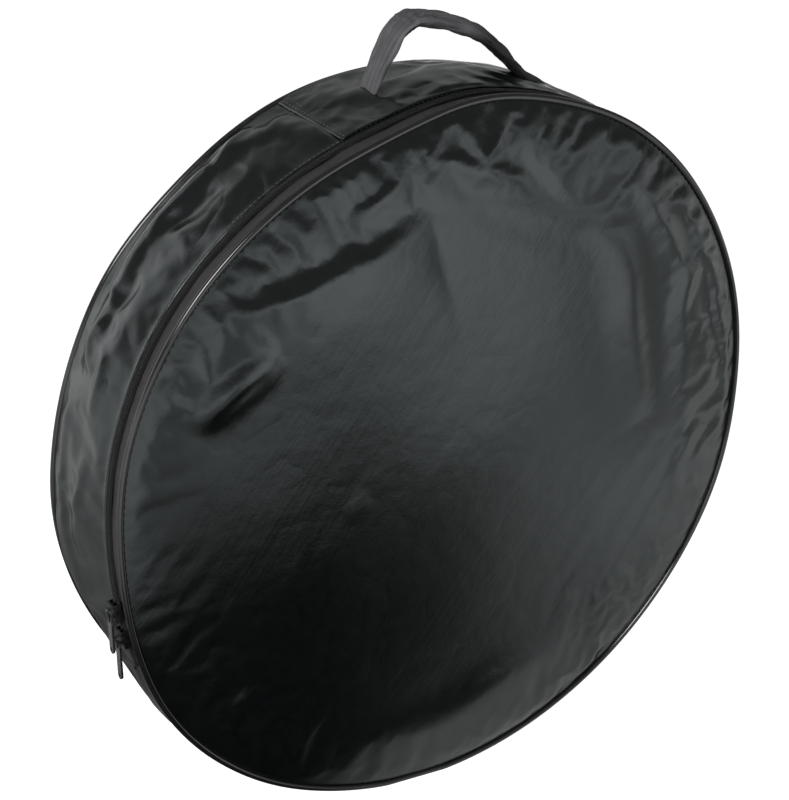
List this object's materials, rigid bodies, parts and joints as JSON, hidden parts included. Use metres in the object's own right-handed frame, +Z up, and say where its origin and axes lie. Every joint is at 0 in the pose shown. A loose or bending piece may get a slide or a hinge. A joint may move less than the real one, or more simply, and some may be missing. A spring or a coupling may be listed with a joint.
{
  "type": "bodhran bag",
  "caption": "Round soft case for a frame drum, with a side zip that lets the front panel fold open, two sliders with pull tabs and a carrying handle.",
  "frame": {"origin": "on the floor under the middle of the bag, centre of the bounding box's bottom", "axes": "+Z up to the handle, front panel towards -Y, +X to the right when the front panel is looked at"},
  "size_m": [0.475, 0.1048, 0.507],
  "materials": {
    "black_nylon": "coated nylon, satin gloss, creased",
    "piping_vinyl": "smooth black vinyl",
    "zip_tape": "matte dark grey woven tape",
    "zip_coil": "black nylon coil",
    "zip_metal": "black enamel on die-cast metal",
    "handle_nylon": "folded nylon cloth, matte",
    "padding_foam": "thin soft foam",
    "lining_cloth": "thin black lining",
    "binding_cloth": "woven binding tape"
  },
  "bodies": {
    "bag": {"front_panel_base": "black_nylon", "back_panel": "black_nylon", "front_foam_base": "padding_foam", "back_foam": "padding_foam", "front_lining_base": "lining_cloth", "back_lining": "lining_cloth", "front_piping_base": "piping_vinyl", "rear_piping": "piping_vinyl", "front_binding_base": "binding_cloth", "rear_binding": "binding_cloth", "gusset_upper": "black_nylon", "gusset_bottom": "black_nylon", "gusset_foam_upper": "padding_foam", "gusset_foam_bottom": "padding_foam", "gusset_lining_upper": "lining_cloth", "gusset_lining_bottom": "lining_cloth", "front_tape_left": "zip_tape", "front_tape_right": "zip_tape", "rear_tape": "zip_tape", "front_coil_left": "zip_coil", "front_coil_right": "zip_coil", "rear_coil": "zip_coil", "zip_stop_left": "zip_metal", "zip_stop_right": "zip_metal", "handle_leg_left": "handle_nylon", "handle_leg_right": "handle_nylon", "handle_patch": "black_nylon"},
    "lid": {"front_panel_lid": "black_nylon", "front_foam_lid": "padding_foam", "front_lining_lid": "lining_cloth", "front_piping_lid": "piping_vinyl", "front_binding_lid": "binding_cloth", "front_tape_lid": "zip_tape", "front_coil_lid": "zip_coil"},
    "slider_upper_body": {"slider_upper": "zip_metal"},
    "slider_lower_body": {"slider_lower": "zip_metal"},
    "pull_upper_body": {"pull_upper": "zip_metal"},
    "pull_lower_body": {"pull_lower": "zip_metal"},
    "handle": {"handle_strap": "handle_nylon"}
  },
  "joints": [
    {"name": "lid_open", "type": "hinge", "parent": "bag", "child": "lid", "pos_m": [0, -0.0527, 0.17865], "axis": [1, 0, 0], "range_deg": [0, 120]},
    {"name": "slider_upper_travel", "type": "hinge", "parent": "bag", "child": "slider_upper_body", "pos_m": [0, -0.032, 0.2355], "axis": [0, 1, 0], "range_deg": [0, 219]},
    {"name": "slider_lower_travel", "type": "hinge", "parent": "bag", "child": "slider_lower_body", "pos_m": [0, -0.032, 0.2355], "axis": [0, 1, 0], "range_deg": [-2.4, 0.5]},
    {"name": "pull_upper_swing", "type": "hinge", "parent": "slider_upper_body", "child": "pull_upper_body", "pos_m": [-0.22941, -0.032, 0.16885], "axis": [0, 1, 0], "range_deg": [-1, 155]},
    {"name": "pull_lower_swing", "type": "hinge", "parent": "slider_lower_body", "child": "pull_lower_body", "pos_m": [-0.22303, -0.032, 0.14989], "axis": [0, 1, 0], "range_deg": [-1, 155]},
    {"name": "handle_swing", "type": "hinge", "parent": "bag", "child": "handle", "pos_m": [0, 0.008, 0.48617], "axis": [1, 0, 0], "range_deg": [-60, 60]}
  ],
  "couplings": [
    {"joint": "pull_lower_swing", "follows": "pull_upper_swing", "ratio": 1}
  ]
}
